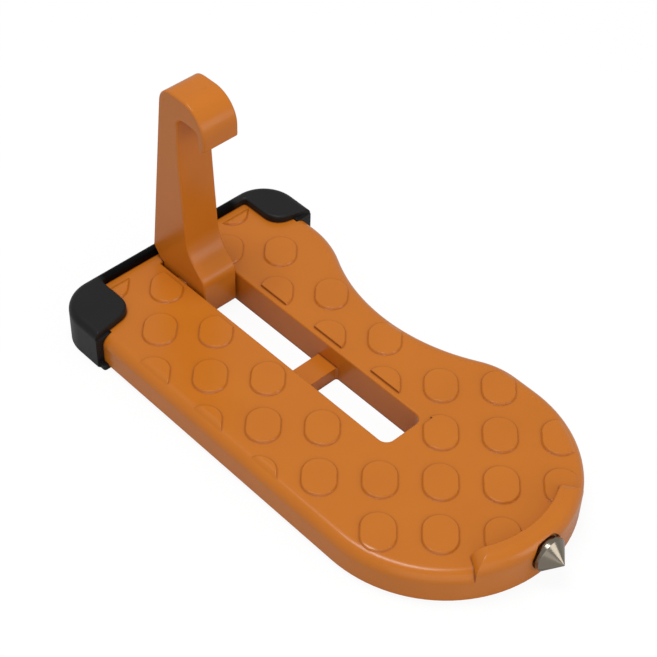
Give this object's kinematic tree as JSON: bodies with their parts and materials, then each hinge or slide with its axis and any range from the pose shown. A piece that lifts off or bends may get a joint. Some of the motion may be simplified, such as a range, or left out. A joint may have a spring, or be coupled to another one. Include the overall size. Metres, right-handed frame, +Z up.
{
  "type": "folding car door step",
  "caption": "Folding step that hangs by a swing hook on a car's door striker: studded slotted foot plate with a waisted side, rubber rear bumper and a steel window-breaker tip.",
  "frame": {"origin": "bottom centre of the bounding box, with the hook upright", "axes": "+X from the rubber bumper to the hammer tip, +Y towards the waisted side, +Z up, with the hook's beak at the top"},
  "size_m": [0.157, 0.081, 0.076],
  "materials": {
    "painted_casting": "orange satin coat on cast aluminium",
    "painted_hook": "orange satin coat on cast aluminium",
    "pin_steel": "ground steel",
    "bumper_rubber": "black satin",
    "tip_steel": "hardened steel, turned"
  },
  "bodies": {
    "pedal": {"pedal_body": "painted_casting", "hinge_pin": "pin_steel", "rubber_bumper": "bumper_rubber", "hammer_tip": "tip_steel"},
    "hook": {"hook": "painted_hook"}
  },
  "joints": [
    {"name": "hook_fold", "type": "hinge", "parent": "pedal", "child": "hook", "pos_m": [-0.0626, 0, 0.00535], "axis": [0, 1, 0], "range_deg": [0, 90]}
  ]
}
